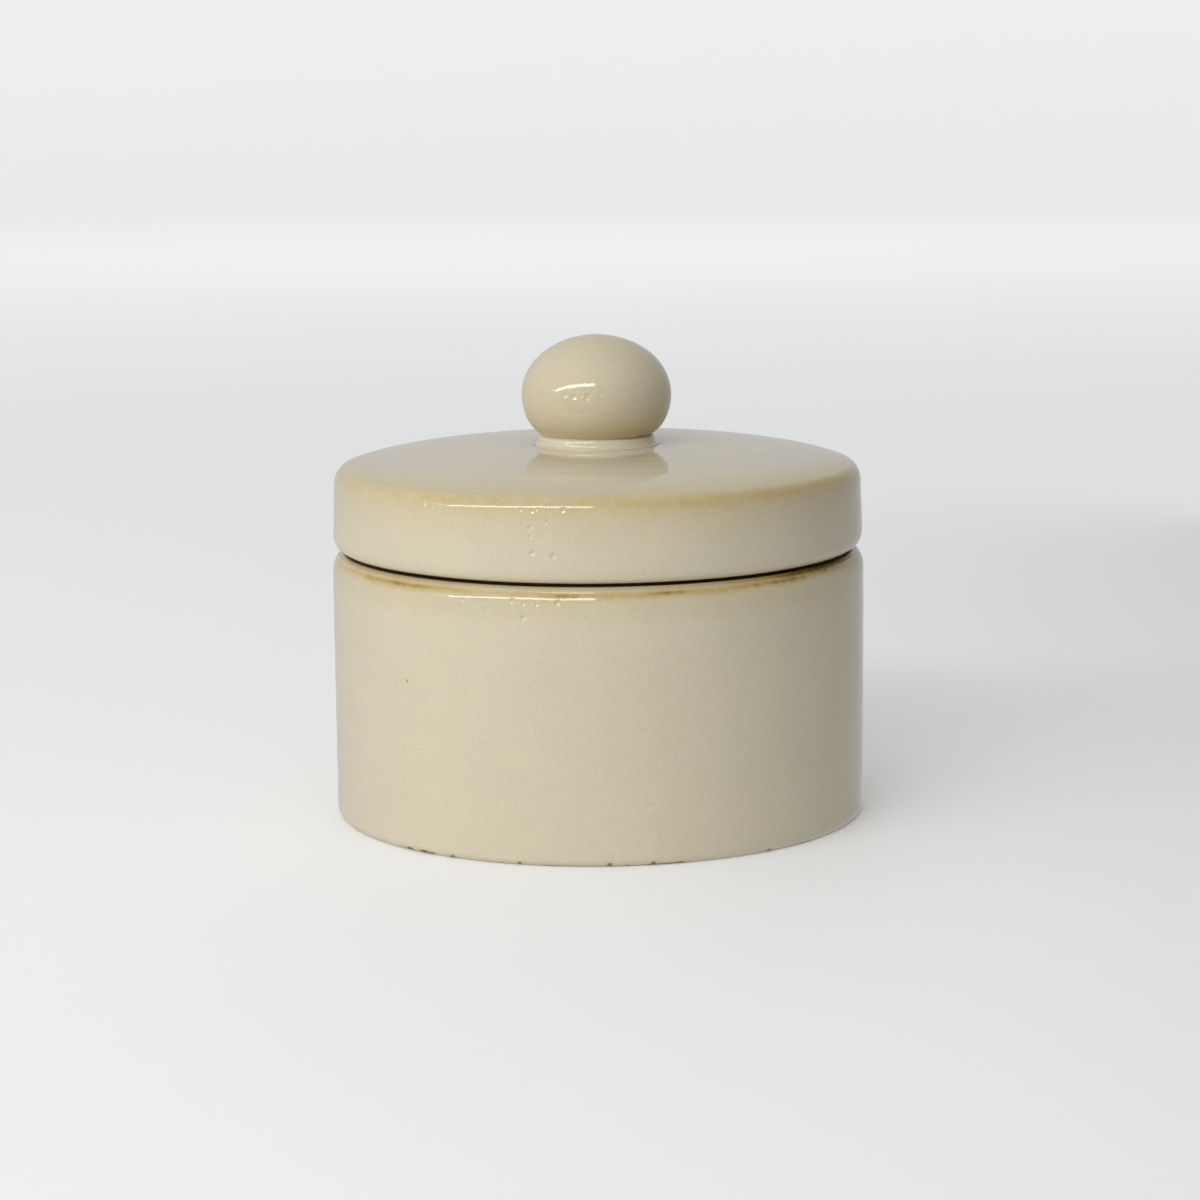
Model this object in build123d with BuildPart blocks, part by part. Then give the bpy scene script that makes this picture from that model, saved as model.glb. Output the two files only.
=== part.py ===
"""A small round lidded box of glazed stoneware: a straight-sided pot, a domed lid and a ball knob.

Millimetres, +Z up, origin on the pot's axis at the level of the table that its foot stands on.
"""

import math
import os

from build123d import *

# Pot: outside, wall and floor
pot_radius = 55.0
pot_height = 55.0
wall_thickness = 5.0
floor_thickness = 5.5
inside_corner_radius = 7.0

# Pot: the rounded rim, whose flat top is the seat of the lid
shoulder_width = 2.5
shoulder_drop = 4.0
mouth_edge_radius = 0.6

# Pot: the turned foot ring
foot_edge_radius = 1.8
foot_ring_width = 5.5
foot_recess_depth = 1.5
foot_recess_fillet = 1.0

# Lid: outside, from the dome's crown to the lower lip
lid_height = 21.4
lid_inset = 0.3
lid_taper = 0.4
lid_edge_radius = 4.4
dome_drop = 4.2
lip_width = 2.2
lip_rise = 3.2
lip_gap = 0.5

# Lid: underside, with the flange that hangs in the pot's mouth
plate_thickness = 5.5
seat_width = 2.0
flange_clearance = 0.8
flange_thickness = 3.2
flange_depth = 5.0
flange_edge_radius = 1.0
ceiling_corner_radius = 7.0

# Knob: a slightly flattened ball on a short flared collar
knob_radius = 15.5
ball_rise = 12.25
ball_centre_height = 10.3
waist_radius = 11.3
belly_width = 6.5
collar_radius = 12.8
collar_height = 2.0
collar_edge = 0.5
cove_sag = 0.35
# How far the handles of a quarter round reach, along each of its half axes
round_share = 0.5523

# Joint between knob and lid: a shallow recess that the knob is luted into
luting_depth = 0.6
luting_clearance = 0.12

# Where the dome's curve leaves the level crown, and where it meets the edge, along its run
dome_crown_share = 0.55
dome_edge_share = 0.2
# How much of the dome's drop is made in that last stretch
dome_edge_drop_share = 0.62

# Levels and radii that follow from the sizes above
floor_top = foot_recess_depth + floor_thickness
inner_radius = pot_radius - wall_thickness
foot_outer_radius = pot_radius - foot_edge_radius
foot_inner_radius = foot_outer_radius - foot_ring_width
shoulder_bottom = pot_height - shoulder_drop
rim_outer_radius = pot_radius - shoulder_width

lid_radius = pot_radius - lid_inset
lip_bottom = pot_height + lip_gap
lip_top = lip_bottom + lip_rise
crown = pot_height + lid_height
lid_top_radius = lid_radius - lid_taper
flange_radius = inner_radius - flange_clearance
flange_inner_radius = flange_radius - flange_thickness
flange_bottom = pot_height - flange_depth
seat_radius = inner_radius + seat_width
ceiling = crown - plate_thickness

knob_base = crown - luting_depth
ball_centre = crown + ball_centre_height
waist_level = crown + collar_height
recess_radius = collar_radius + luting_clearance

# The pot, thrown with a straight wall, a level floor and a turned foot
with BuildPart() as pot:
    with BuildSketch(Plane.XZ):
        with BuildLine():
            underside = Polyline(
                (0, floor_top),
                (0, foot_recess_depth),
                (foot_inner_radius, foot_recess_depth),
                (foot_inner_radius, 0),
                (foot_outer_radius, 0),
            )
            foot_edge = RadiusArc(underside @ 1, (pot_radius, foot_edge_radius), -foot_edge_radius)
            side = Line(foot_edge @ 1, (pot_radius, shoulder_bottom))
            shoulder = EllipticalCenterArc(
                (rim_outer_radius, shoulder_bottom), shoulder_width, shoulder_drop, 0, arc_size=90
            )
            Polyline(shoulder @ 1, (inner_radius, pot_height), (inner_radius, floor_top), (0, floor_top))
        make_face()
    revolve(axis=Axis.Z)
    circles = pot.edges().filter_by(GeomType.CIRCLE)
    fillet(circles.filter_by_position(Axis.Z, floor_top, floor_top), inside_corner_radius)
    mouth = pot.edges().filter_by(GeomType.CIRCLE).filter_by_position(Axis.Z, pot_height, pot_height)
    fillet(mouth.sort_by(SortBy.RADIUS)[0], mouth_edge_radius)
    recess = pot.edges().filter_by(GeomType.CIRCLE)
    fillet(recess.filter_by_position(Axis.Z, foot_recess_depth, foot_recess_depth), foot_recess_fillet)

# The lid, a shallow cap: domed plate, upright side, and a flange that drops into the pot's mouth
with BuildPart() as lid:
    with BuildSketch(Plane.XZ):
        with BuildLine():
            dome_run = lid_top_radius - recess_radius
            dome = Bezier(
                (recess_radius, crown),
                (recess_radius + dome_run * dome_crown_share, crown),
                (lid_top_radius - dome_run * dome_edge_share, crown - dome_drop * (1 - dome_edge_drop_share)),
                (lid_top_radius, crown - dome_drop),
            )
            lid_side = Line(dome @ 1, (lid_radius, lip_top))
            lip = EllipticalCenterArc(
                (lid_radius - lip_width, lip_top),
                lip_width,
                lip_rise,
                0,
                arc_size=-90,
            )
            Polyline(
                lip @ 1,
                (seat_radius, lip_bottom),
                (seat_radius, pot_height),
                (flange_radius, pot_height),
                (flange_radius, flange_bottom),
                (flange_inner_radius, flange_bottom),
                (flange_inner_radius, ceiling),
                (0, ceiling),
                (0, knob_base),
                (recess_radius, knob_base),
                dome @ 0,
            )
        make_face()
    revolve(axis=Axis.Z)
    dome_foot = crown - dome_drop
    edge = lid.edges().filter_by(GeomType.CIRCLE).filter_by_position(Axis.Z, dome_foot, dome_foot)
    fillet(edge, lid_edge_radius)
    corner = lid.edges().filter_by(GeomType.CIRCLE).filter_by_position(Axis.Z, ceiling, ceiling)
    fillet(corner, ceiling_corner_radius)
    flange_ends = lid.edges().filter_by(GeomType.CIRCLE)
    fillet(flange_ends.filter_by_position(Axis.Z, flange_bottom, flange_bottom), flange_edge_radius)

# The knob, rolled and turned by itself and luted to the lid with slip before the glaze
with BuildPart() as knob:
    with BuildSketch(Plane.XZ):
        with BuildLine():
            belly_centre = knob_radius - belly_width
            belly_angle = math.acos((waist_radius - belly_centre) / belly_width)
            belly_depth = (ball_centre - waist_level) / math.sin(belly_angle)
            foot = Polyline((0, knob_base), (collar_radius, knob_base), (collar_radius, crown + collar_edge))
            cove = SagittaArc(foot @ 1, (waist_radius, waist_level), cove_sag)
            belly = EllipticalCenterArc(
                (belly_centre, ball_centre),
                belly_width,
                belly_depth,
                -math.degrees(belly_angle),
                arc_size=math.degrees(belly_angle),
            )
            ball_top = Bezier(
                (knob_radius, ball_centre),
                (knob_radius, ball_centre + ball_rise * round_share),
                (knob_radius * round_share, ball_centre + ball_rise),
                (0, ball_centre + ball_rise),
            )
            Line(ball_top @ 1, foot @ 0)
        make_face()
    revolve(axis=Axis.Z)

pot.part.label = "pot"
lid.part.label = "lid"
knob.part.label = "knob"

os.makedirs("parts", exist_ok=True)
export_step(pot.part, "parts/pot.step")
export_step(lid.part, "parts/lid.step")
export_step(knob.part, "parts/knob.step")
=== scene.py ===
import math

import bpy
import numpy as np
from mathutils import Matrix, Vector, noise


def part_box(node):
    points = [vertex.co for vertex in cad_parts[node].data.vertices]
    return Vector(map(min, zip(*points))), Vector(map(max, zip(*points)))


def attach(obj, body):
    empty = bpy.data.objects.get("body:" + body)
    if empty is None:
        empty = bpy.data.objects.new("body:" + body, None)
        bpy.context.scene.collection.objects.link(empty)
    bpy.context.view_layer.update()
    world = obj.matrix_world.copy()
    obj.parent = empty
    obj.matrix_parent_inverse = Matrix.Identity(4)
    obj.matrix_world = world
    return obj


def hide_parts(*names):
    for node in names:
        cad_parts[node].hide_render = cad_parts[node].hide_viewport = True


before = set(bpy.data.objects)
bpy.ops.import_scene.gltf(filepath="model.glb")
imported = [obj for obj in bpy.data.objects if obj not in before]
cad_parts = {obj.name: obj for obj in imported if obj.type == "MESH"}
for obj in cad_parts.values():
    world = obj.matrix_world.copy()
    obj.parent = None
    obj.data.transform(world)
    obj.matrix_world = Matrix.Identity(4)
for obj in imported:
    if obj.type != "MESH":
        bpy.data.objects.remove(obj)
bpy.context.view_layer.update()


# The pot
# One piece of buff stoneware, thrown on a wheel, turned at the foot and dipped in a cream glaze.
# Its foot and the seat of its lid are wiped bare before the firing, and over the rounded rim the
# glaze runs thin and breaks to amber.

mm = 0.001
pot_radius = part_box("pot")[1].x
pot_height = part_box("pot")[1].z
wall = 5 * mm
floor_top = 7 * mm
floor_corner = 7 * mm
rim_width = 2.5 * mm
rim_drop = 4 * mm
mouth_rounding = 0.6 * mm
foot_rounding = 1.8 * mm
foot_ring_width = 5.5 * mm
foot_recess = 1.5 * mm
foot_recess_rounding = 1 * mm
foot_ring_rounding = 0.4 * mm


class Outline:
    """Half the section of a turned piece, traced in order. Each point is a radius and a height."""

    def __init__(self, radius, height):
        self.points = [(radius, height)]

    def add(self, radii, heights):
        self.points += list(zip(radii, heights))
        return self

    def to(self, radius, height, step=1.2 * mm):
        """A straight run with a point every step, so that relief can follow."""
        start = self.points[-1]
        count = max(1, round(math.dist(start, (radius, height)) / step))
        share = np.arange(1, count + 1) / count
        return self.add(start[0] + (radius - start[0]) * share, start[1] + (height - start[1]) * share)

    def bend(self, corner, end, count=10, fullness=math.sqrt(0.5)):
        """A quarter of an ellipse that leaves towards corner and arrives at end."""
        share = np.arange(1, count + 1) / count
        pulls = np.array(((1 - share) ** 2, 2 * fullness * share * (1 - share), share**2))
        return self.add(*(np.column_stack((self.points[-1], corner, end)) @ (pulls / pulls.sum(0))))

    def sweep(self, first, second, end, count):
        """A free curve that leaves towards first and arrives from second."""
        share = np.arange(1, count + 1) / count
        pulls = np.array(
            ((1 - share) ** 3, 3 * share * (1 - share) ** 2, 3 * share**2 * (1 - share), share**3)
        )
        return self.add(*(np.column_stack((self.points[-1], first, second, end)) @ pulls))

    def outside(self, height):
        """The outermost radius at a height."""
        points = np.array(self.points)
        low, high = points[:-1], points[1:]
        crossing = (low[:, 1] - height) * (high[:, 1] - height) < 0
        low, high = low[crossing], high[crossing]
        share = (height - low[:, 1]) / (high[:, 1] - low[:, 1])
        return float((low[:, 0] + (high[:, 0] - low[:, 0]) * share).max())


def ease(low, high, value):
    """0 below low, 1 above high and a soft slope between them."""
    share = np.clip((value - low) / (high - low), 0, 1)
    return share * share * (3 - 2 * share)


def hump(distance, width):
    """1 in the middle, falling softly to 0.37 at one width from it."""
    return np.exp(-((distance / width) ** 2))


def waver(angle, seed, waves=(2, 3, 5, 8, 13)):
    """An uneven line round a turned piece, from about -1 to 1."""
    chance = np.random.default_rng(seed)
    return sum(np.sin(n * angle + chance.uniform(0, math.tau)) for n in waves) / len(waves) ** 0.75


def around(angle, marks):
    """A strength that changes round a piece. Each mark is an angle from the front, in degrees with the
    +X side positive, and the strength there."""
    degrees, strengths = zip(*marks)
    return np.interp(np.degrees((angle + math.pi) % math.tau - math.pi), degrees, strengths)


relief_fade = 4 * mm


def turn(name, outline, film, relief, around_count=400):
    """Spins an outline round Z. film gives the glaze's thickness as a share of its usual one, and relief
    how far the surface stands out, both from the radius, height and angle of each point. Relief fades
    out near the axis."""
    points = np.array(outline.points)
    along = np.gradient(points, axis=0)
    outward = np.column_stack((along[:, 1], -along[:, 0]))
    outward /= np.linalg.norm(outward, axis=1, keepdims=True)
    angle = np.arange(around_count) * math.tau / around_count
    radius, height = points[:, :1], points[:, 1:]
    glaze = np.broadcast_to(film(radius, height, angle), (len(points), around_count))
    push = relief(radius, height, angle, glaze) * ease(0, relief_fade, radius)
    spun_radius = radius + outward[:, :1] * push
    spun_height = height + outward[:, 1:] * push
    rings = np.stack((spun_radius * np.sin(angle), -spun_radius * np.cos(angle), spun_height), axis=-1)
    poles = [(0, 0, points[0, 1]), (0, 0, points[-1, 1])]
    ring_count = len(points) - 2
    vertices = np.concatenate((rings[1:-1].reshape(-1, 3), poles))
    index = np.arange(ring_count * around_count).reshape(ring_count, around_count)
    beside = np.roll(index, -1, axis=1)
    quads = np.stack((index[:-1], beside[:-1], beside[1:], index[1:]), axis=-1).reshape(-1, 4)
    first_pole = ring_count * around_count
    start_fan = [(first_pole, b, a) for a, b in zip(index[0].tolist(), beside[0].tolist())]
    end_fan = [(first_pole + 1, a, b) for a, b in zip(index[-1].tolist(), beside[-1].tolist())]
    mesh = bpy.data.meshes.new(name)
    mesh.from_pydata(vertices.tolist(), [], quads.tolist() + start_fan + end_fan)
    mesh.shade_smooth()
    laid = np.concatenate((glaze[1:-1].ravel(), glaze[(0, -1), 0]))
    mesh.attributes.new("film", "FLOAT", "POINT").data.foreach_set("value", laid.astype("f"))
    piece = bpy.data.objects.new(name, mesh)
    bpy.context.scene.collection.objects.link(piece)
    return piece


inner_radius = pot_radius - wall
foot_outer = pot_radius - foot_rounding
foot_inner = foot_outer - foot_ring_width
rim_top = pot_radius - rim_width

pot_outline = Outline(0, foot_recess)
pot_outline.to(foot_inner - foot_recess_rounding, foot_recess, 1.5 * mm)
pot_outline.bend((foot_inner, foot_recess), (foot_inner, foot_recess - foot_recess_rounding), 6)
pot_outline.bend((foot_inner, 0), (foot_inner + foot_ring_rounding, 0), 4)
pot_outline.to(foot_outer, 0, 0.7 * mm)
pot_outline.bend((pot_radius, 0), (pot_radius, foot_rounding), 16)
pot_outline.to(pot_radius, pot_height - rim_drop, 1 * mm)
pot_outline.bend((pot_radius, pot_height), (rim_top, pot_height), 44)
pot_outline.to(inner_radius + mouth_rounding, pot_height, 0.4 * mm)
pot_outline.bend((inner_radius, pot_height), (inner_radius, pot_height - mouth_rounding), 5)
pot_outline.to(inner_radius, floor_top + floor_corner, 1.4 * mm)
pot_outline.bend((inner_radius, floor_top), (inner_radius - floor_corner, floor_top), 12)
pot_outline.to(0, floor_top, 1.5 * mm)

# Where the glaze ends: at a wandering line with chips above the foot, and at the lid's seat
glaze_depth = 0.2 * mm
glaze_lip = 0.12 * mm
pot_glaze_rise = 0.42 * mm
foot_line = 0.02 * mm
foot_line_wander = 0.12 * mm
foot_zone = 2 * foot_rounding
chip_rise = 0.65 * mm
# Each chip's angle from the front and its half width, in degrees
chips = (
    (-44.5, 0.6), (-40.2, 1.2), (-38.1, 0.5), (-32.6, 0.7), (-17, 0.3), (1.8, 0.35),
    (5.1, 0.25), (10.7, 0.4), (16.7, 0.4), (38, 0.35), (84, 1.4), (91, 0.9),
    (133, 1.2), (171, 1.0), (-108, 1.3), (-146, 0.9),
)
seat_radius = 52.0 * mm
seat_depth = 1.4 * mm
seat_wander = 0.1 * mm

# Where the glaze breaks over the rim, how far that line climbs, in mm, and the painted shade fringe under
# the gap
rim_break_height = pot_height - 1.45 * mm
rim_break_radius = pot_radius - 0.6 * mm
rim_break_width = 1.15 * mm
rim_break_wander = 0.25 * mm
rim_break_strength = 0.54
rim_break_marks = (
    (-180, 0.6), (-140, 0.8), (-100, 0.5), (-75, 0.55), (-57, 0.85), (-48, 1.0), (-38, 0.95), (-31, 0.75),
    (-22, 0.5), (-14, 0.6), (-8, 1.0), (-2, 0.8), (6, 0.75), (14, 1.1), (25, 0.8), (38, 1.0),
    (52, 1.0), (62, 0.9), (75, 0.6), (100, 0.5), (150, 0.8), (180, 0.6),
)
rim_climb_marks = (
    (-180, 0), (-70, 0.2), (-55, 0.3), (-36, 0.2), (-22, 0.1),
    (10, 0.2), (30, 0.45), (55, 0.55), (70, 0.2), (180, 0),
)
# The fringe is partly thin glaze at the seat's edge and partly painted shade, darkest on the right side.
shade_fringe_radius = 53.2 * mm
shade_fringe_height = pot_height - 0.16 * mm
shade_fringe_width = 0.85 * mm
shade_fringe_strength = 0.7
shade_fringe_marks = (
    (-180, 0.2), (-100, 0.3), (-64, 0.3), (-50, 0.2), (-36, 0.1), (-28, 0.05), (8, 0.05),
    (20, 0.15), (34, 0.4), (62, 1.1), (80, 0.6), (130, 0.3), (180, 0.2),
)
rim_roll_height = pot_height - 0.62 * mm
rim_roll_width = 0.3 * mm
rim_roll_strength = 0.12
pot_drained = 0.2
pot_drained_from = pot_height - 10 * mm
thinnest_film = 0.19


def pot_film(radius, height, angle):
    chipped = sum(
        hump((np.degrees(angle) + 180 - degrees) % 360 - 180, half_width) for degrees, half_width in chips
    )
    line = foot_line + foot_line_wander * waver(angle, 3, (3, 7, 12, 19, 31)) + chip_rise * chipped
    above_foot = np.minimum(height - line, radius - foot_outer)
    above_foot = np.where(height < foot_zone, above_foot, pot_radius)
    seat_edge = seat_radius + seat_wander * waver(angle, 5)
    off_seat = np.maximum(radius - seat_edge, pot_height - seat_depth - height)
    off_bare = np.minimum(above_foot, off_seat)
    climb = rim_break_wander * waver(angle, 7, (4, 9, 15, 22)) + around(angle, rim_climb_marks) * mm
    from_break = np.hypot(radius - rim_break_radius, height - rim_break_height - climb)
    thin = rim_break_strength * around(angle, rim_break_marks) * hump(from_break, rim_break_width)
    # Painted shade: a dark fringe along the gap, partly thin glaze at the seat's edge.
    from_shade_fringe = np.hypot(radius - shade_fringe_radius, height - shade_fringe_height)
    thin = thin + shade_fringe_strength * around(angle, shade_fringe_marks) * hump(from_shade_fringe, shade_fringe_width)
    roll = rim_roll_strength * hump(height - rim_roll_height, rim_roll_width)
    drained = pot_drained * ease(pot_drained_from, pot_height - rim_drop, height)
    drained = drained * (radius > inner_radius + mm)
    film = np.maximum(1 + roll - thin - drained, thinnest_film)
    return ease(-glaze_lip, pot_glaze_rise, off_bare) * film


# Rings left by the fingers and the turning tool: their depth, and the run of one radian of their wave
wall_ring_depth = 0.03 * mm
wall_ring_run = 1.35 * mm
inside_ring_depth = 0.16 * mm
inside_ring_run = 0.85 * mm
turning_depth = 0.07 * mm
turning_run = 0.38 * mm
# How far the rings of an outer side are sunk, in depths, which keeps nearly all inside the solid
ring_sink = 1.8
outer_side = inner_radius + 0.6 * wall
smooth_mouth = 1 * mm
mouth_blend = 5 * mm
smooth_foot = 0.5 * mm
rim_groove_drop = 0.35 * mm
rim_groove_width = 0.14 * mm
groove_depth = 0.05 * mm
# A margin for telling which side of an edge a point lies on
margin = 0.1 * mm


def pot_relief(radius, height, angle, glaze):
    outside = radius > outer_side
    under = height < foot_recess + margin
    wall_wave = np.sin(height / wall_ring_run + angle) + waver(angle, 11, (2, 3, 4))
    wall_rings = wall_ring_depth * (wall_wave - ring_sink)
    inside_rings = inside_ring_depth * np.sin((height + radius) / inside_ring_run - angle)
    inside_rings = inside_rings * ease(0, mouth_blend, pot_height - smooth_mouth - height)
    turning = turning_depth * np.sin(radius / turning_run - angle)
    rings = np.where(outside, wall_rings, np.where(under, turning, inside_rings))
    groove = groove_depth * hump(height - rim_roll_height + rim_groove_drop, rim_groove_width) * outside
    film_step = np.where(radius > foot_inner, (glaze.clip(0, 1) - 1) * glaze_depth, 0)
    return (film_step + rings - groove) * ease(0, smooth_foot, height)


stoneware_pot = turn("stoneware_pot", pot_outline, pot_film, pot_relief)


class Value:
    """A number that varies over a surface. Arithmetic on it adds Math nodes to its finish."""

    def __init__(self, finish, socket):
        self.finish = finish
        self.socket = socket

    def maths(self, operation, first, second):
        return self.finish.node("ShaderNodeMath", {"operation": operation}, {0: first, 1: second})

    def __add__(self, other):
        return self.maths("ADD", self, other)

    __radd__ = __add__

    def __sub__(self, other):
        return self.maths("SUBTRACT", self, other)

    def __rsub__(self, other):
        return self.maths("SUBTRACT", other, self)

    def __mul__(self, other):
        return self.maths("MULTIPLY", self, other)

    __rmul__ = __mul__

    def between(self, low, high):
        """0 below low, 1 above high and a soft slope between them."""
        settings = {"interpolation_type": "SMOOTHSTEP"}
        return self.finish.node("ShaderNodeMapRange", settings, {0: self, 1: low, 2: high})


class Finish:
    """The surface of one thing, whose colour and relief are worked out from the place on it."""

    def __init__(self, name):
        self.material = bpy.data.materials.new(name)
        self.material.use_nodes = True
        self.tree = self.material.node_tree
        self.tree.nodes.clear()
        self.place = self.node("ShaderNodeTexCoord", output="Object")

    def node(self, kind, settings=None, values=None, output=0):
        """Adds a node: its settings first, then the value or link of each of its sockets."""
        made = self.tree.nodes.new(kind)
        for setting, choice in (settings or {}).items():
            if setting == "stops":
                for position, _ in choice[1:-1]:
                    made.color_ramp.elements.new(position)
                for element, (position, colour) in zip(made.color_ramp.elements, choice):
                    element.position = position
                    element.color = colour
            else:
                setattr(made, setting, choice)
        for socket, value in (values or {}).items():
            if isinstance(value, Value):
                self.tree.links.new(value.socket, made.inputs[socket])
            else:
                made.inputs[socket].default_value = value
        if made.outputs:
            return Value(self, made.outputs[output])

    def grain(self, size, detail=2.0, roughness=0.5):
        """Random grain about size across, from 0 to 1."""
        values = {"Vector": self.place, "Scale": 1 / size, "Detail": detail, "Roughness": roughness}
        return self.node("ShaderNodeTexNoise", {}, values)

    def coat(self, thing, surface):
        """Gives the finished surface to a thing."""
        self.node("ShaderNodeOutputMaterial", {}, {"Surface": surface})
        thing.data.materials.append(self.material)


class Glaze(Finish):
    """Glazed stoneware: the bare body where there is no glaze, a scorched brown and then amber where its
    film is thin, cream where it is full and milky where it lies thick. The two darkest colours are partly
    the body's own and partly painted shade that darkens the gap under the lid, and the milky one is also
    painted light on the knob's collar."""

    # The bare and toasted browns are partly the clay's own and partly painted shade for the gap under the
    # lid.
    clay_and_gap_shade = (0.22, 0.14, 0.075, 1)
    toasted_and_gap_shade = (0.225, 0.128, 0.01, 1)
    amber = (0.53, 0.385, 0.16, 1)
    honey = (0.595, 0.49, 0.285, 1)
    cream = (0.64, 0.574, 0.42, 1)
    # The milky colour also serves as painted light that lifts the knob's shaded collar.
    milk_and_painted_light = (0.78, 0.71, 0.535, 1)
    # The colours by the film's share of the thickest film
    thickest_film = 1.4
    stops = (
        (0.0, clay_and_gap_shade), (0.02, clay_and_gap_shade), (0.07, toasted_and_gap_shade), (0.13, toasted_and_gap_shade), (0.25, amber),
        (0.42, honey), (0.66, cream), (0.75, cream), (0.88, milk_and_painted_light), (1.0, milk_and_painted_light),
    )

    # Where the film shows clay, where it dulls the gloss and where it is laid unevenly
    bare_film = (0.03, 0.09)
    dull_film = (0.3, 0.9)
    uneven_film = (0, 0.45)
    even_film = 1.1

    # How strongly the film, the colour and the roughness vary
    blotch_strength = 0.45
    streak_strength = 0.3
    pit_thinning = 0.75
    cloud_strength = 0.07
    speckle_strength = 0.22
    warmth_strength = 0.09
    sand_strength = 0.9
    gloss_roughness = 0.035
    bare_roughness = 0.75
    thin_roughness = 0.05

    # Relief, which a piece can change, and how much steeper a dimple's side gets than its mean slope
    lumps = 0.009 * mm
    ripple = 0.003 * mm
    sand_height = 0.06 * mm
    pit_depth = 0.06 * mm
    steepest = 1.5
    pits = 0
    dimples = 0

    def away(self, radius, height, degrees):
        """How far each place is from a spot, which is given by its angle from the front."""
        turned = math.radians(degrees)
        spot = (radius * math.sin(turned), -radius * math.cos(turned), height)
        settings = {"operation": "DISTANCE"}
        return self.node("ShaderNodeVectorMath", settings, {0: self.place, 1: spot}, "Value")

    def speck(self, radius, height, degrees, size):
        """A speck of iron that has melted a pit into the glaze."""
        ragged = self.away(radius, height, degrees) + (self.grain(size) - 0.5) * size
        self.pits = self.pits + (1 - ragged.between(0.2 * size, size))

    def dimple(self, outline, degrees, level, size, tilt):
        """A burst bubble that healed to a smooth dimple. Its level and size are in mm, and its sides tilt
        by some degrees, enough to catch the tube light."""
        radius = outline.outside(level * mm)
        depth = size * mm * math.tan(math.radians(tilt)) / self.steepest
        sunk = 1 - self.away(radius, level * mm, degrees).between(0, size * mm)
        self.dimples = self.dimples + sunk * depth

    def fire(self, piece):
        """Builds the surface from the film and gives it to the piece."""
        laid = self.node("ShaderNodeAttribute", {"attribute_name": "film"}, output="Fac")
        blotches = (self.grain(1.5 * mm, 4, 0.65) - 0.5) * self.blotch_strength
        streaks = (self.grain(6 * mm, 2) - 0.5) * self.streak_strength
        unevenness = (self.even_film - laid) * laid.between(*self.uneven_film)
        film = laid + (blotches + streaks) * unevenness - self.pits * self.pit_thinning
        bare = 1 - film.between(*self.bare_film)
        thin = 1 - film.between(*self.dull_film)
        fired = self.node("ShaderNodeValToRGB", {"stops": self.stops}, {0: film * (1 / self.thickest_film)})
        clouds = (self.grain(14 * mm, 3) - 0.5) * self.cloud_strength
        speckle = (self.grain(0.7 * mm, 3, 0.7) - 0.5) * self.speckle_strength
        warmth = (self.grain(1.2 * mm, 3, 0.7) - 0.5) * self.warmth_strength
        sand = (self.grain(0.35 * mm, 3, 0.7) - 0.5) * bare
        shade = 1 + (clouds + speckle) + sand * self.sand_strength
        tone = self.node("ShaderNodeCombineXYZ", {}, {0: shade + warmth, 1: shade, 2: shade - warmth})
        colour = self.node("ShaderNodeVectorMath", {"operation": "MULTIPLY"}, {0: fired, 1: tone})
        roughness = self.gloss_roughness + bare * self.bare_roughness + thin * self.thin_roughness
        peel = self.grain(2.2 * mm, 2) * self.lumps + self.grain(0.8 * mm, 2) * self.ripple
        sandy = peel * (1 - bare) + sand * self.sand_height
        height = sandy - self.pits * self.pit_depth - self.dimples
        normal = self.node("ShaderNodeBump", {}, {"Strength": 1.0, "Distance": 1.0, "Height": height})
        glassy = {"Base Color": colour, "Roughness": roughness, "IOR": 1.52, "Normal": normal}
        self.coat(piece, self.node("ShaderNodeBsdfPrincipled", {}, glassy))


pot_glaze = Glaze("pot_glaze")
pot_glaze.speck(pot_radius, 34.5 * mm, -43.6, 0.55 * mm)
pot_glaze.speck(pot_radius, 17.2 * mm, 112, 0.4 * mm)
pot_glaze.speck(pot_radius, 40.6 * mm, 167, 0.5 * mm)
# Each dimple's angle from the front, level, size and tilt
shoulder_dimples = (
    (-40.9, 52.9, 0.9, 12), (-28.5, 52, 0.6, 15), (-24, 51.7, 0.5, 15), (-17.7, 52.3, 0.8, 17),
    (-15.3, 51.9, 0.6, 18), (-12.5, 51.9, 0.7, 20), (-8.3, 52.2, 0.85, 20), (-15.3, 49.2, 0.8, 25),
    (-32, 50.9, 0.6, 20), (57, 52.5, 0.8, 12), (140, 52, 0.8, 12), (-130, 51.5, 0.8, 14),
)
for dimple in shoulder_dimples:
    pot_glaze.dimple(pot_outline, *dimple)
pot_glaze.fire(stoneware_pot)
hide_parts("pot")
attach(stoneware_pot, "pot")


# The lid
# A shallow cap of the same clay, thrown upside down. Its flange drops into the pot's mouth and is
# bare, like the lip that meets the rim, while the domed top, the side and the inside are glazed.

lid_low, lid_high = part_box("lid")
lid_radius = lid_high.x
crown = lid_high.z
lid_taper = 0.4 * mm
dome_drop = 4.2 * mm
lip_width = 2.2 * mm
lip_rise = 3.2 * mm
lip_bottom = pot_height + 0.5 * mm
plate = 5.5 * mm
ceiling_corner = 7 * mm
seat_step = 50.9 * mm
seat_step_rounding = 0.25 * mm
flange_radius = 49.2 * mm
flange_thickness = 3.2 * mm
flange_rounding = 1 * mm
knob_recess = 12.86 * mm
knob_recess_depth = 0.6 * mm
recess_rounding = 0.15 * mm
edge_below = 3.2 * mm
edge_along = 2.4 * mm
edge_fullness = 0.85
edge_taper = 0.1 * mm
edge_lift = 0.2 * mm
# The handles of the dome's curve: how far in from its ends, as shares of its run, and how far the
# outer one lies below the crown, as a share of the drop
dome_edge_share = 0.2
dome_crown_share = 0.5
dome_edge_drop = 0.38

ceiling = crown - plate
flange_inner = flange_radius - flange_thickness
lid_top_radius = lid_radius - lid_taper
dome_run = lid_top_radius - knob_recess
dome_foot = crown - dome_drop
dome_slope = math.atan2(dome_drop * dome_edge_drop + edge_lift, dome_run * dome_edge_share)

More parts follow.
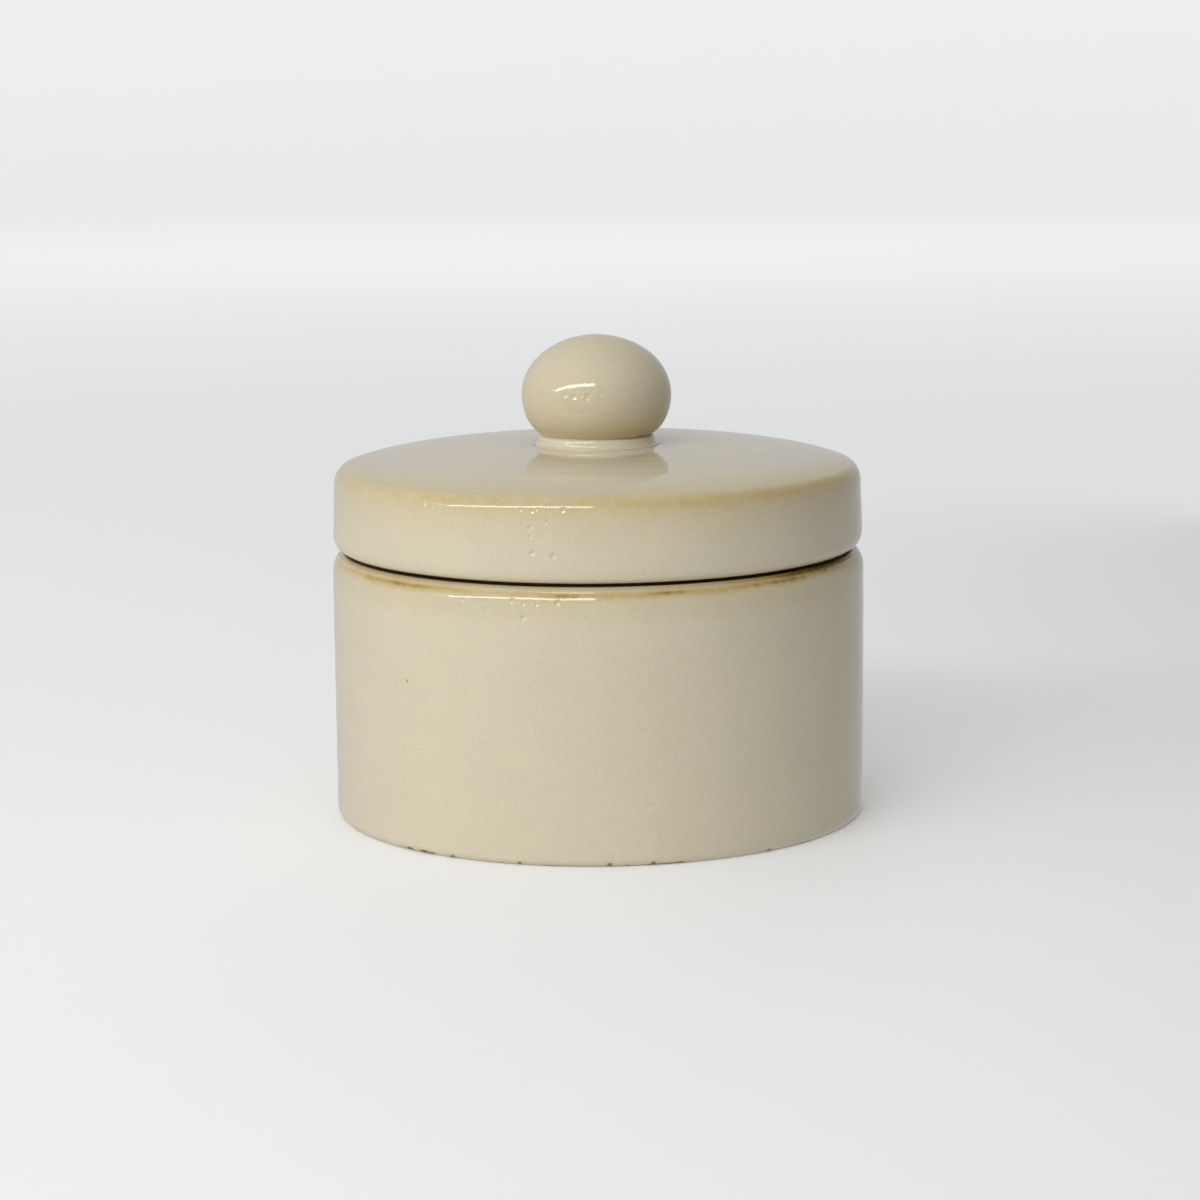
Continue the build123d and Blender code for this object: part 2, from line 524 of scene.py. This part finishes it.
lid_outline = Outline(0, ceiling)
lid_outline.to(flange_inner - ceiling_corner, ceiling)
lid_outline.bend((flange_inner, ceiling), (flange_inner, ceiling - ceiling_corner), 12)
lid_outline.to(flange_inner, lid_low.z + flange_rounding, 0.9 * mm)
lid_outline.bend((flange_inner, lid_low.z), (flange_inner + flange_rounding, lid_low.z), 6)
lid_outline.to(flange_radius - flange_rounding, lid_low.z, 0.6 * mm)
lid_outline.bend((flange_radius, lid_low.z), (flange_radius, lid_low.z + flange_rounding), 6)
lid_outline.to(flange_radius, pot_height - seat_step_rounding, 0.9 * mm)
lid_outline.bend((flange_radius, pot_height), (flange_radius + seat_step_rounding, pot_height), 4)
lid_outline.to(seat_step - seat_step_rounding, pot_height, 0.6 * mm)
lid_outline.bend((seat_step, pot_height), (seat_step, pot_height + seat_step_rounding), 3)
lid_outline.bend((seat_step, lip_bottom), (lid_radius - lip_width, lip_bottom), 4)
lid_outline.bend((lid_radius, lip_bottom), (lid_radius, lip_bottom + lip_rise), 36)
lid_outline.to(lid_top_radius + edge_taper, dome_foot - edge_below, 0.7 * mm)
edge_end = (
    lid_top_radius - edge_along * math.cos(dome_slope),
    dome_foot + edge_along * math.sin(dome_slope),
)
lid_outline.bend((lid_top_radius, dome_foot), edge_end, 24, edge_fullness)
lid_outline.sweep(
    (lid_top_radius - dome_run * dome_edge_share, crown - dome_drop * dome_edge_drop),
    (knob_recess + dome_run * dome_crown_share, crown),
    (knob_recess + recess_rounding, crown),
    44,
)
lid_outline.bend((knob_recess, crown), (knob_recess, crown - recess_rounding), 4)
lid_outline.to(knob_recess, crown - knob_recess_depth, 0.15 * mm)
lid_outline.to(0, crown - knob_recess_depth, 2 * mm)

# Where the glaze ends: just over the lip, and a little way up the inside of the flange
lid_glaze_rise = 0.2 * mm
lip_line = lip_bottom + 0.04 * mm
lip_line_wander = 0.05 * mm
flange_line = lid_low.z + 2.2 * mm
flange_line_wander = 0.25 * mm

# Where the glaze breaks over the lip and the upper edge, and where it has drained off the side
lip_break_height = lip_bottom + 0.35 * mm
lip_break_width = 0.32 * mm
lip_break_strength = 0.4
edge_break_height = dome_foot - 1.0 * mm
edge_break_radius = lid_radius - 1.1 * mm
edge_break_width = 2.0 * mm
edge_break_wander = 0.3 * mm
edge_break_strength = 0.33
edge_break_marks = (
    (-180, 0.65), (-130, 0.85), (-95, 0.6), (-70, 0.6), (-58, 0.55), (-42, 0.5),
    (-30, 0.65), (-20, 0.7), (-10, 0.65), (0, 0.75), (12, 0.85), (26, 0.9),
    (40, 0.95), (56, 1.0), (80, 0.7), (130, 0.85), (180, 0.65),
)
lid_drained = 0.26
lid_drained_from = lip_bottom + 2 * mm
drained_inner = 40 * mm
drained_outer = 52 * mm


def lid_film(radius, height, angle):
    beyond_flange = radius > flange_inner + margin
    line = lip_line + lip_line_wander * waver(angle, 21)
    above_lip = np.where(beyond_flange, height - line, pot_radius)
    inside_line = flange_line + flange_line_wander * waver(angle, 23)
    above_flange = np.where(beyond_flange, pot_radius, height - inside_line)
    off_bare = np.minimum(above_lip, above_flange)
    drift = edge_break_wander * waver(angle, 27, (3, 7, 12, 19))
    from_break = np.hypot(radius - edge_break_radius, height - edge_break_height - drift)
    thin = edge_break_strength * around(angle, edge_break_marks) * hump(from_break, edge_break_width)
    on_lip = hump(height - lip_break_height, lip_break_width) * (radius > seat_step)
    drained = lid_drained * ease(lid_drained_from, edge_break_height, height)
    drained = drained * ease(drained_inner, drained_outer, radius)
    film = 1 - thin - lip_break_strength * on_lip - drained
    return ease(-glaze_lip, lid_glaze_rise, off_bare) * film


# Rings as on the pot, a ridge that the turning left on the dome, and combed lines about it
side_ring_depth = 0.02 * mm
side_ring_run = 1.1 * mm
dome_ring_depth = 0.01 * mm
dome_ring_run = 0.9 * mm
under_ring_depth = 0.12 * mm
under_ring_drop = 9 * mm
ridge_radius = 20 * mm
ridge_width = 1.2 * mm
ridge_height = 0.03 * mm
comb_depth = 0.01 * mm
comb_run = 0.6 * mm
comb_starts = (15 * mm, 17 * mm)
comb_ends = (27 * mm, 22 * mm)
lip_groove_height = lip_bottom + 0.85 * mm
lip_groove_width = 0.13 * mm


def lid_relief(radius, height, angle, glaze):
    ridge = ridge_height * (hump(radius - ridge_radius, ridge_width) - 1)
    combed = np.sin(radius / comb_run) * ease(*comb_ends, radius) * ease(*comb_starts, radius)
    ridge = ridge + comb_depth * combed
    dome_rings = dome_ring_depth * np.sin(radius / dome_ring_run - angle) + ridge
    side_wave = np.sin(height / side_ring_run + angle) + waver(angle, 31, (2, 3, 4))
    side_rings = side_ring_depth * (side_wave - ring_sink)
    groove = groove_depth * hump(height - lip_groove_height, lip_groove_width)
    under_rings = under_ring_depth * np.sin((height + radius) / inside_ring_run - angle)
    under_rings = under_rings * (height > ceiling - under_ring_drop)
    rings = np.where(height > ceiling, dome_rings, under_rings)
    rings = np.where(radius > seat_step, side_rings - groove, rings)
    return (glaze.clip(0, 1) - 1) * glaze_depth + rings * (radius > knob_recess + mm)


stoneware_lid = turn("stoneware_lid", lid_outline, lid_film, lid_relief)
lid_glaze = Glaze("lid_glaze")
lid_glaze.lumps = 0.003 * mm
lid_glaze.ripple = 0.0015 * mm
lid_glaze.speck(41 * mm, crown - 1.2 * mm, 148, 0.45 * mm)
side_dimples = (
    (-37.7, 70.2, 1.0, 12), (-35.4, 69.8, 0.6, 16), (-15.9, 70.1, 0.6, 14), (-13.4, 69.9, 0.7, 16),
    (-12.4, 70.2, 0.5, 12), (-7, 70.1, 0.8, 14), (-13.8, 66.8, 0.7, 25), (-13.9, 64.9, 0.6, 25),
    (-13.4, 61.8, 0.8, 25), (-9, 61.3, 0.9, 25), (-10.5, 67.8, 0.5, 24), (74, 69.5, 0.8, 12),
    (-112, 70, 0.9, 10),
)
for dimple in side_dimples:
    lid_glaze.dimple(lid_outline, *dimple)
lid_glaze.fire(stoneware_lid)
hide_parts("lid")
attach(stoneware_lid, "lid")


# The knob
# A ball of clay turned on a short flared collar and luted into the lid's recess with slip before
# both are glazed. The glaze slides off the ball's underside, whose amber is partly painted shade, and
# lies thick and milky on the collar, which is lighter as painted light against the ball's shadow.

knob_low, knob_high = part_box("knob")
knob_radius = knob_high.x
ball_rise = 12.25 * mm
waist_radius = 11.3 * mm
waist_height = crown + 2 * mm
collar_radius = 12.8 * mm
collar_edge = 0.14 * mm
cove_low = (11.55 * mm, crown + 0.3 * mm)
cove_high = (12.35 * mm, crown + 1.95 * mm)
belly_width = 6.5 * mm
belly_steps = 60

ball_centre = knob_high.z - ball_rise
belly_centre = knob_radius - belly_width
belly_angle = math.acos((waist_radius - belly_centre) / belly_width)
belly_depth = (ball_centre - waist_height) / math.sin(belly_angle)

knob_outline = Outline(0, knob_low.z)
knob_outline.to(collar_radius, knob_low.z, 2 * mm)
knob_outline.to(collar_radius, crown + collar_edge, 0.15 * mm)
knob_outline.sweep(cove_low, cove_high, (waist_radius, waist_height), 22)
belly = belly_angle * (np.arange(1, belly_steps + 1) / belly_steps - 1)
knob_outline.add(belly_centre + belly_width * np.cos(belly), ball_centre + belly_depth * np.sin(belly))
knob_outline.bend((knob_radius, knob_high.z), (0, knob_high.z), 50)

# The glaze runs off the ball's underside, more on some sides than on others, and gathers below. The
# thin amber under the ball is partly painted shade, strongest on the shaded right side, and the
# collar's thick milky film is painted light that keeps it bright in the ball's shadow.
ball_thinning = 0.15
run_off_shade = 0.33
run_off_shade_wander = 0.2
run_off_shade_marks = (
    (-180, 0.6), (-100, 0.5), (-50, 0.45), (-20, 0.5),
    (15, 0.75), (50, 1), (90, 0.8), (140, 0.6), (180, 0.6),
)
run_off_shade_top = waist_height + 5.5 * mm
run_off_shade_bottom = waist_height + 0.4 * mm
# The collar's thick film gives it the milky colour, painted light that lifts it out of the ball's shadow.
collar_painted_light_film = 1.2


def knob_film(radius, height, angle):
    # Painted shade under the ball, partly real glaze thinning, and painted light on the collar.
    shaded_under_ball = ease(run_off_shade_top, run_off_shade_bottom, height)
    uneven = 1 + run_off_shade_wander * waver(angle, 41)
    thin = ball_thinning + run_off_shade * shaded_under_ball * around(angle, run_off_shade_marks) * uneven
    return np.where(height > waist_height, 1 - thin, collar_painted_light_film)


def hummocks(radius, height, angle, lump, shift):
    """Random swellings about one lump across, from -1 to 1, at every point of a turned piece."""
    x, y, z = np.broadcast_arrays(radius * np.sin(angle), -radius * np.cos(angle), height)
    points = np.column_stack((x.ravel(), y.ravel(), z.ravel())) / lump + shift
    return np.array([noise.noise(point) for point in points]).reshape(x.shape)


# Soft lumps from the fingers, smaller dents, and fine lines from turning the lower half
lump_size = 5 * mm
lump_depth = 0.05 * mm
lump_shift = 14.6
dent_size = 1.8 * mm
dent_depth = 0.014 * mm
dent_shift = 36.5
fine_line_depth = 0.009 * mm
fine_line_run = 0.13 * mm
fine_line_top = ball_centre + 1 * mm
fine_line_full = ball_centre - 2 * mm
ball_sink = 0.06 * mm


def knob_relief(radius, height, angle, glaze):
    lumps = hummocks(radius, height, angle, lump_size, lump_shift) * lump_depth
    lumps = lumps + hummocks(radius, height, angle, dent_size, dent_shift) * dent_depth
    lines = fine_line_depth * np.sin(height / fine_line_run) * ease(fine_line_top, fine_line_full, height)
    return (lumps + lines - ball_sink) * (height > waist_height)


ball_knob = turn("ball_knob", knob_outline, knob_film, knob_relief, 256)
knob_glaze = Glaze("knob_glaze")
knob_glaze.lumps = 0.012 * mm
knob_glaze.ripple = 0.005 * mm
speck_height = waist_height + 0.3 * mm
knob_glaze.speck(knob_outline.outside(speck_height), speck_height, 48, 0.6 * mm)
knob_dimples = (
    (-47.6, 88.4, 0.9, 14), (-42, 87.9, 0.6, 14), (-24, 88, 0.8, 14), (-17, 87.7, 1.0, 16),
    (-11, 88, 0.6, 14), (-6.3, 87.7, 1.2, 16), (3.5, 88.3, 0.7, 13),
)
for dimple in knob_dimples:
    knob_glaze.dimple(knob_outline, *dimple)
knob_glaze.fire(ball_knob)
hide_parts("knob")
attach(ball_knob, "lid")


# The studio
# A pale sweep of board that curves up all round, and an unseen black card that shades the right side.
# Two lamps on the left, a long tube and a small far one, draw the bright lines in the glaze, and
# broad ones in front, above and behind fill the rest. The sizes here are in metres.

sweep_radius = 2.6
sweep_wall = 1.0
sweep_height = 3.2
sweep_sides = 96
sweep_outline = Outline(0, 0)
sweep_outline.to(sweep_radius, 0, 0.1)
sweep_outline.bend((sweep_radius + sweep_wall, 0), (sweep_radius + sweep_wall, sweep_wall), 24)
sweep_outline.to(sweep_radius + sweep_wall, sweep_height, 0.2)
sweep_points = np.array(sweep_outline.points)
sweep_angles = np.arange(sweep_sides) * math.tau / sweep_sides
sweep_rings = [
    (r * math.sin(a), -r * math.cos(a), h) for r, h in sweep_points[1:] for a in sweep_angles
]
sweep_faces = []
for ring in range(len(sweep_points) - 2):
    inner = ring * sweep_sides
    outer = inner + sweep_sides
    for side in range(sweep_sides):
        after = (side + 1) % sweep_sides
        sweep_faces.append((inner + side, inner + after, outer + after, outer + side))
sweep_faces += [(len(sweep_rings), (side + 1) % sweep_sides, side) for side in range(sweep_sides)]
board = bpy.data.meshes.new("board")
board.from_pydata(sweep_rings + [(0, 0, 0)], [], sweep_faces)
board.shade_smooth()
floor = bpy.data.objects.new("floor", board)

# The board is white and glows a little, and more so far off. Its wall is grey above these heights.
wall_start = (0.3, 0.8)
far_start = (0.5, 2.2)
floor_white = 0.9
wall_darkening = 0.7
near_glow = 0.125
far_glow = 0.2
wall_glow = 0.232
paint = Finish("board_paint")
level = paint.node("ShaderNodeSeparateXYZ", {}, {0: paint.place}, "Z")
flat_place = paint.node("ShaderNodeVectorMath", {"operation": "MULTIPLY"}, {0: paint.place, 1: (1, 1, 0)})
reach = paint.node("ShaderNodeVectorMath", {"operation": "LENGTH"}, {0: flat_place}, "Value")
upper = level.between(*wall_start)
lower = 1 - upper
far = reach.between(*far_start) * lower
white = floor_white - upper * wall_darkening
glow = lower * near_glow + far * far_glow + upper * wall_glow
painted = paint.node("ShaderNodeCombineXYZ", {}, {0: white, 1: white, 2: white})
matt = {"Base Color": painted, "Roughness": 0.6, "Emission Color": glow, "Emission Strength": 1}
paint.coat(floor, paint.node("ShaderNodeBsdfPrincipled", {}, matt))
paint.material.cycles.emission_sampling = "NONE"
bpy.context.scene.collection.objects.link(floor)
floor.visible_glossy = False

card_place = 0.215
card_near = -0.5
card_far = 0.4
card_low = 0.002
card_high = 0.24
card_mesh = bpy.data.meshes.new("black_card")
card_corners = [
    (card_place, card_near, card_low),
    (card_place, card_far, card_low),
    (card_place, card_far, card_high),
    (card_place, card_near, card_high),
]
card_mesh.from_pydata(card_corners, [], [(0, 1, 2, 3)])
black_card = bpy.data.objects.new("black_card", card_mesh)
felt = Finish("black_felt")
dark = {"Base Color": (0.03, 0.03, 0.03, 1), "Roughness": 0.9}
felt.coat(black_card, felt.node("ShaderNodeBsdfPrincipled", {}, dark))
black_card.visible_camera = False
black_card.visible_glossy = False
bpy.context.scene.collection.objects.link(black_card)

object_middle = Vector((0, 0, 0.06))


def seen_at(degrees, elevation, distance=2.0):
    """The place at an angle from the front, a height in degrees and a distance from the box."""
    turned, raised = math.radians(degrees), math.radians(elevation)
    towards = (math.sin(turned) * math.cos(raised), -math.cos(turned) * math.cos(raised), math.sin(raised))
    return object_middle + Vector(towards) * distance


def lamp(name, place, aim, width, height, watts, glossy=True):
    """A flat lamp at a place, turned to face another. One that isn't glossy draws no highlight."""
    light = bpy.data.lights.new(name, "AREA")
    light.shape = "RECTANGLE"
    light.size = width
    light.size_y = height
    light.energy = watts
    holder = bpy.data.objects.new(name, light)
    holder.location = place
    holder.rotation_euler = (Vector(place) - Vector(aim)).to_track_quat("Z", "Y").to_euler()
    holder.visible_glossy = glossy
    bpy.context.scene.collection.objects.link(holder)


lamp("tube_light", (-1.435, -1.2, 0.9), (-1.435, 0, 0.06), 2.79, 0.21, 18)
lamp("far_lamp", seen_at(-71, 15, 2.4), object_middle, 0.5, 0.08, 0.75)
lamp("window", seen_at(-20, 28), object_middle, 0.9, 0.9, 2, glossy=False)
lamp("overhead_lamp", seen_at(0, 80), object_middle, 0.9, 0.9, 2.7, glossy=False)
lamp("back_lamp", seen_at(180, 30), object_middle, 0.9, 0.9, 2, glossy=False)

world = bpy.data.worlds.new("room")
world.use_nodes = True
daylight = world.node_tree.nodes["Background"]
daylight.inputs["Color"].default_value = (0.97, 0.98, 1.0, 1)
daylight.inputs["Strength"].default_value = 0.58
bpy.context.scene.world = world
bpy.context.scene.view_settings.view_transform = "Standard"

camera_distance = 0.7046
camera_height = 0.1621
camera_pitch = 9.547
camera_yaw = 0.024
camera_roll = -0.586
camera = bpy.data.cameras.new("camera")
camera.sensor_width = 36
camera.lens = 103.04
viewer = bpy.data.objects.new("camera", camera)
viewer.matrix_world = (
    Matrix.Translation((0, -camera_distance, camera_height))
    @ Matrix.Rotation(math.radians(-camera_yaw), 4, "Z")
    @ Matrix.Rotation(math.radians(90 - camera_pitch), 4, "X")
    @ Matrix.Rotation(math.radians(camera_roll), 4, "Z")
)
bpy.context.scene.collection.objects.link(viewer)
bpy.context.scene.camera = viewer
